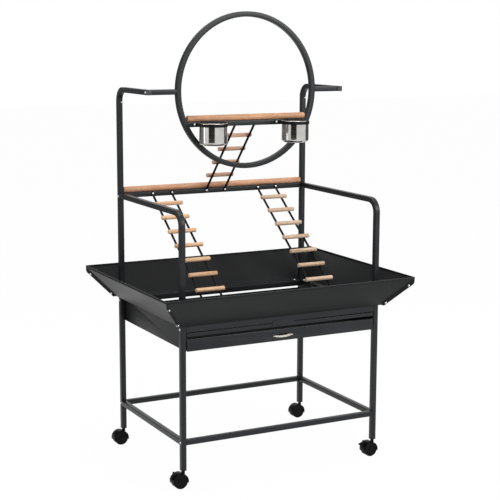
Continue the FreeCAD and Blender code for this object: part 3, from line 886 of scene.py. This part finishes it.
# %% Front strip of the grate
grate_low, grate_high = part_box("grate")
strip_thick, strip_edge, bar_tall, shelf_deep = 0.0012, 0.0004, 0.0122, 0.008
tab_half, tab_low, tab_height, tab_out, tab_edge = 0.042, 0.004, 0.017, 0.0015, 0.0005
neck_back, neck_trim, neck_lap, neck_edge = 0.0008, 0.0005, 0.0004, 0.0002
strip_y = grate_low.y + tab_out


def strip_box(low, high, edge):
    """A thin box between two corners with rounded edges."""
    box = box_between(low, high)
    bpy.ops.mesh.bevel(offset=edge, segments=2)
    return done(box)


def grate_front():
    """The upright bar, the shelf behind its foot, the finger tab, and the neck that carries it."""
    x0, y0, z0 = grate_low
    x1 = grate_high.x
    return joined([
        strip_box((x0, strip_y, z0), (x1, strip_y + strip_thick, z0 + bar_tall), strip_edge),
        strip_box((x0, strip_y, z0), (x1, strip_y + shelf_deep, z0 + strip_thick), strip_edge),
        strip_box((-tab_half, y0, z0 + tab_low),
                  (tab_half, y0 + strip_thick, z0 + tab_low + tab_height), tab_edge),
        strip_box((-tab_half, y0 + neck_back, z0 + tab_low + neck_trim),
                  (tab_half, strip_y + neck_lap, z0 + bar_tall - neck_trim), neck_edge),
    ])


front = dress(grate_front(), "grate_front_strip", tube_coat, "grate", instead_of=["grate"])
print("grate front", [round(c, 3) for c in front.dimensions])

# %% Welded wires of the grate
rod_size, rod_bend = 0.005, 0.006
mesh_size, mesh_pitch, mesh_sink = 0.003, 0.019, 0.0006
end_inset = 0.001    # what stops short of the front bar and of the back of the grate


def grate_grid():
    """The border rod, two cross rods under the wires, and the wires from front to back."""
    inset = rod_size / 2
    left, right_end, back = grate_low.x + inset, grate_high.x - inset, grate_high.y - inset
    z = grate_low.z + inset
    wire_z = z + inset + mesh_size / 2 - mesh_sink
    front_y = strip_y + end_inset
    border = [(left, front_y, z), (left, back, z), (right_end, back, z), (right_end, front_y, z)]
    made = [sweep(border, rod_size, rod_bend, False)]
    first_y = strip_y + shelf_deep + inset
    for y in (first_y, (first_y + back) / 2):
        made.append(sweep([(left, y, z), (right_end, y, z)], rod_size, 0, False))
    count = int((grate_high.x - grate_low.x - 2 * rod_size) / mesh_pitch)
    wire_ends = [(0, first_y - inset, wire_z), (0, grate_high.y - end_inset, wire_z)]
    wire = sweep(wire_ends, mesh_size, 0, False)
    places = [Matrix.Translation(((i - count / 2) * mesh_pitch, 0, 0)) for i in range(count + 1)]
    return joined(made + [copies(wire, places)])


grid = dress(grate_grid(), "grate_welded", wire_coat, "grate", instead_of=["grate"])
print("grate triangles", sum(len(face.vertices) - 2 for face in grid.data.polygons))

# %% [markdown]
# A cup is drawn from one disc of steel. A spun outline would need every point of its wall, so a
# cylinder is the start: it loses its lid, its foot is rounded, and the top edge is extruded outwards
# and down into the rim that hangs on the holder. Solidify then thickens the wall inwards, so the
# outside keeps the size of the CAD.

# %% Cups
cup_sides, cup_wall_radius, cup_wall = 96, 0.047, 0.0009
foot_round, foot_border, foot_hollow = 0.0095, 0.006, 0.0008
rim_out, rim_drop = 0.0026, 0.0022
rim_turns = ((0.7, 0), (1, 0.35))    # shares of the rim's width and drop where its roll turns
at_foot, at_top = 0.001, 0.0005


def steel_cup(name):
    low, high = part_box(name)
    centre = (low + high) / 2
    cup = cylinder(cup_sides, cup_wall_radius, high.z - low.z, location=centre)
    choose_edges(cup, lambda a, b: max(a.z, b.z) < low.z + at_foot)
    bpy.ops.mesh.bevel(offset=foot_round, segments=7)
    choose_faces(cup, lambda middle, normal: normal.z > facing and middle.z > high.z - at_foot)
    bpy.ops.mesh.delete(type="FACE")
    choose_edges(cup, lambda a, b: min(a.z, b.z) > high.z - at_top)
    radius, fallen = cup_wall_radius, 0
    for width_share, drop_share in rim_turns:
        wider = cup_wall_radius + rim_out * width_share
        pull_out((0, 0, -rim_drop * (drop_share - fallen)))
        bpy.ops.transform.resize(value=(wider / radius, wider / radius, 1),
                                 center_override=(centre.x, centre.y, high.z))
        radius, fallen = wider, drop_share
    pull_out((0, 0, -rim_drop * (1 - fallen)))
    choose_faces(cup, lambda middle, normal: normal.z < -facing and middle.z < low.z + at_foot)
    bpy.ops.mesh.inset(thickness=foot_border, depth=0)
    pull_out((0, 0, foot_hollow))
    modified(outside_out(done(cup)), "SOLIDIFY", thickness=cup_wall, offset=-1)
    return dress(cup, name + "_bowl", stainless, name, [name])


for name in ("cup_left", "cup_right"):
    cup = steel_cup(name)
    print(name, [round(1000 * c, 1) for c in cup.dimensions], "mm")

# %% [markdown]
# Castors: two hard nylon wheels under one hood. A wheel is a cylinder with a rounded tread. Its
# outer side has a dished web and a raised hub, made by insets that are pushed in and pulled out. One
# wheel is modelled and turned about for the other side: a mirrored copy would be inside out.

# %% Castor wheels
wheel_sides, wheel_radius, wheel_width, tread_round = 56, 0.025, 0.013, 0.0028
web_steps = ((0.0028, 0), (0.0012, -0.0018), (0.0085, -0.0004), (0.001, 0.0016), (0.0045, 0.0003))
dead_level = 0.99    # only the flat side, not the first facet of the rounded tread
axle_size, hood_edge = 0.005, 0.0005


def wheel_source():
    wheel = cylinder(wheel_sides, wheel_radius, wheel_width)
    choose_edges(wheel, lambda a, b: abs(a.z - b.z) < wheel_width / 10)
    bpy.ops.mesh.bevel(offset=tread_round, segments=4)
    choose_faces(wheel, lambda middle, normal: normal.z > dead_level and middle.z > 0)
    terraces(web_steps)
    return done(wheel)


castor_names = ("front_left", "front_right", "rear_left", "rear_right")
for name in castor_names:
    low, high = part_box("caster_wheels_" + name)
    centre = (low + high) / 2
    out = (high.y - low.y) / 2 - wheel_width / 2
    spots = [standing_at(centre + Vector((0, side * out, 0)), (0, side, 0)) for side in (-1, 1)]
    wheels = copies(wheel_source(), spots)
    axle = profile_face(centre - Vector((0, out, 0)), Vector((0, 1, 0)), axle_size, False)
    pull_out((0, 2 * out, 0))
    dress(joined([wheels, outside_out(axle)]), "castor_wheels_" + name, tread_plastic,
          "wheels_" + name, ["caster_wheels_" + name])
    softened("caster_hood_" + name, hood_edge, hood_plastic, "caster_" + name)
for name in castor_names[:2]:
    softened("brake_pedal_" + name, moulding_edge, hood_plastic, "pedal_" + name)
print(len(castor_names), "castors, the first two with a brake pedal")

# %% [markdown]
# The pale heads of the bolts are the only bright points on the dark frame. Half a ball would have
# many faces for a thing so small, so a head is a short cylinder whose top is inset and raised three
# times. A nut is a hexagon with a bevelled edge and a collar.

# %% Bolt and nut
head_radius, head_tall = 0.0042, 0.001
dome_steps = ((0.0004, 0.0006), (0.0009, 0.0006), (0.0012, 0.0003))
nut_radius, nut_tall, nut_edge, collar_size = 0.0042, 0.0032, 0.0005, 0.0012


def domed_head():
    head = cylinder(24, head_radius, head_tall, location=(0, 0, head_tall / 2))
    choose_faces(head, lambda middle, normal: normal.z > facing)
    terraces(dome_steps)
    return done(head)


def hex_nut():
    nut = cylinder(6, nut_radius, nut_tall, location=(0, 0, nut_tall / 2))
    choose_faces(nut, lambda middle, normal: normal.z > facing)
    bpy.ops.mesh.bevel(offset=nut_edge, segments=2)
    choose_faces(nut, lambda middle, normal: normal.z > facing and middle.z > nut_tall - nut_edge / 2)
    bpy.ops.mesh.inset(thickness=collar_size, depth=0)
    pull_out((0, 0, collar_size))
    return done(nut)


# %% [markdown]
# Some fifty bolts would make a long list of points, so their places are worked out from the parts
# they hold: the legs at both levels of cross-tubes, the arms, the wire eyes, the cup holders, the
# feet of the guards, and the flanges where two guards meet.


# %% Bolt places on the frame
def middle_of(name, axis):
    low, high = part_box(name)
    return (low[axis] + high[axis]) / 2


out_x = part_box("leg_front_right")[1].x
leg_x, leg_y = out_x - half, middle_of("leg_rear_right", 1)
in_x, in_y = leg_x - half, leg_y - half
corners = [(sx, sy) for sx in (-1, 1) for sy in (-1, 1)]
cross_levels = (middle_of("stretcher_left", 2), middle_of("rail_front", 2))
frame_spots = [((sx * out_x, sy * leg_y, z), (sx, 0, 0)) for sx, sy in corners for z in cross_levels]

arm_bolt_below, screw_aside, screw_below = 0.003, 0.0048, 0.0012
screw_spots = []
for side, sx in (("left", -1), ("right", 1)):
    post = posts[side]
    frame_spots += [((sx * out_x, post["y"], arm_z - arm_bolt_below), (sx, 0, 0)),
                    ((sx * out_x, ring_centre.y, top_z), (sx, 0, 0))]
    spot = (post["x"] + screw_aside, post["y"] - half, post["elbow_foot"] - screw_below)
    screw_spots.append((spot, (0, -1, 0)))
frame_spots += ladder_bolts

cup_bolt_half, holder_plate = 0.045, 0.002
for side in ("left", "right"):
    x, y = middle_of("cup_holder_" + side, 0), bar_low.y - holder_plate
    frame_spots += [((x + s * cup_bolt_half, y, bar_z), (0, -1, 0)) for s in (-1, 1)]
print(len(frame_spots), "bolts and", len(screw_spots), "screws on the frame")

# %% Bolt places on the guards
foot_sheet, foot_inset_x, foot_inset_y = 0.0012, 0.019, 0.014
foot_z = deck + foot_sheet
foot_spots = [((sx * (in_x - foot_inset_x), sy * leg_y, foot_z), (0, 0, 1)) for sx, sy in corners]
foot_spots += [((sx * leg_x, sy * (in_y - foot_inset_y), foot_z), (0, 0, 1)) for sx, sy in corners]

guard_out, guard_rise, guard_step, flange_sheet = 0.084, 0.099, 0.005, 0.00135
bolts_up_slope = (0.13, 0.80)
flange_beside = 0.0045    # the middle of a flange lies this far outside and below the slope
slope = Vector((guard_out, guard_rise)).normalized()
corner_spots, nut_spots = [], []
for sx, sy in corners:
    across = Vector((1, -sx * sy, 0)).normalized()
    for share in bolts_up_slope:
        out = guard_out * share + guard_step + half + flange_beside * slope.y
        z = deck + guard_rise * share - flange_beside * slope.x
        at = Vector((sx * (leg_x + out), sy * (leg_y + out), z))
        corner_spots.append((at + across * flange_sheet, across))
        nut_spots.append((at - across * flange_sheet, -across))
print(len(foot_spots), "bolts in the guards' feet,", len(corner_spots), "at their corners")

# %% Set the bolts and nuts
screw_share = 0.62
for name, source, spots, size in (
    ("frame_bolts", domed_head, frame_spots, 1), ("elbow_screws", domed_head, screw_spots, screw_share),
    ("guard_foot_bolts", domed_head, foot_spots, 1), ("guard_corner_bolts", domed_head, corner_spots, 1),
    ("guard_corner_nuts", hex_nut, nut_spots, 1),
):
    places = [standing_at(point, way) @ Matrix.Scale(size, 4) for point, way in spots]
    dress(copies(source(), places), name, zinc)
    print(name, len(spots))

# %% [markdown]
# The floor is a wide pale plane. One that is only lit turns grey at the back, and one that only
# glows has no shadow. So the camera sees mostly its own white and a little of the light on it: the
# soft shadow of the stand stays, and the page round it is white. Metal should mirror that same
# white, so glossy rays count as camera rays.


# %% Floor
def seen_directly(tree):
    """1 for camera, glossy and transmission rays, 0 for the light that falls on things."""
    path = tree.nodes.new("ShaderNodeLightPath")
    total = path.outputs["Is Camera Ray"]
    for kind in ("Is Glossy Ray", "Is Transmission Ray"):
        most = tree.nodes.new("ShaderNodeMath")
        most.operation = "MAXIMUM"
        tree.links.new(total, most.inputs[0])
        tree.links.new(path.outputs[kind], most.inputs[1])
        total = most.outputs[0]
    return total


floor_size, floor_tone, floor_white_share = 40, 0.95, 0.97
nothing_selected()
bpy.ops.mesh.primitive_plane_add(size=floor_size, location=(0, 0, 0))
floor = bpy.context.object
floor.name = "floor"
floor_finish, tree, shader, place = new_finish("pale_floor", 0.9)
fill_sockets(tree, shader, {"Base Color": (*[floor_tone] * 3, 1), "Specular IOR Level": 0.0})
glow = tree.nodes.new("ShaderNodeEmission")
share = spread(tree, seen_directly(tree), 0, floor_white_share)
mix = tree.nodes.new("ShaderNodeMixShader")
tree.links.new(share, mix.inputs["Fac"])
tree.links.new(shader.outputs["BSDF"], mix.inputs[1])
tree.links.new(glow.outputs["Emission"], mix.inputs[2])
tree.links.new(mix.outputs["Shader"], tree.nodes["Material Output"].inputs["Surface"])
floor.data.materials.append(floor_finish)
print("floor", floor_size, "m, white share", floor_white_share)

# %% World
ambient = 0.5
world = bpy.data.worlds.new("white_studio")
bpy.context.scene.world = world
world.use_nodes = True
tree = world.node_tree
fill_sockets(tree, tree.nodes["Background"], {
    "Color": (1, 1, 1, 1),
    "Strength": spread(tree, seen_directly(tree), ambient, 1.0),
})
bpy.context.scene.view_settings.view_transform = "Standard"
print("ambient light", ambient)

# %% [markdown]
# In a white room polished metal looks like paper, because it mirrors nothing but white. In a studio
# a black card stands behind the camera for this, and grey ones beside and behind the thing. The cups
# then show an upright dark stripe between two bright ones. A stripe painted on the steel would be
# wrong from every other side. Only reflections see the cards: they throw no shadow.

# %% Cards that only reflections see
card_tall = 2.6


def card(name, start, end, far, tone):
    """An upright card between two angles, in degrees to the camera's right, about the stand."""
    toward_camera = Vector((-ahead.x, -ahead.y, 0)).normalized()
    ends = []
    for angle in (math.radians(start), math.radians(end)):
        ends.append(far * (toward_camera * math.cos(angle) + level_right * math.sin(angle)))
    along = ends[1] - ends[0]
    nothing_selected()
    bpy.ops.mesh.primitive_plane_add(size=1)
    piece = bpy.context.object
    piece.name = name
    piece.scale = (along.length, card_tall, 1)
    piece.rotation_euler = (math.pi / 2, 0, math.atan2(along.y, along.x))
    piece.location = (ends[0] + ends[1]) / 2 + Vector((0, 0, card_tall / 2))
    apply_place(piece)
    finish, tree, shader, place = new_finish(name, 1.0)
    fill_sockets(tree, shader, {
        "Base Color": (0, 0, 0, 1), "Specular IOR Level": 0.0,
        "Emission Color": (*[tone] * 3, 1), "Emission Strength": 1.0,
    })
    piece.data.materials.append(finish)
    for ray in ("camera", "diffuse", "shadow", "transmission"):
        setattr(piece, "visible_" + ray, False)
    print(name, round(along.length, 2), "m wide")


card("card_black", -37, 13, 5.6, 0.03)
card("card_left", -150, -78, 2.6, 0.2)
card("card_right", 97, 150, 2.6, 0.12)
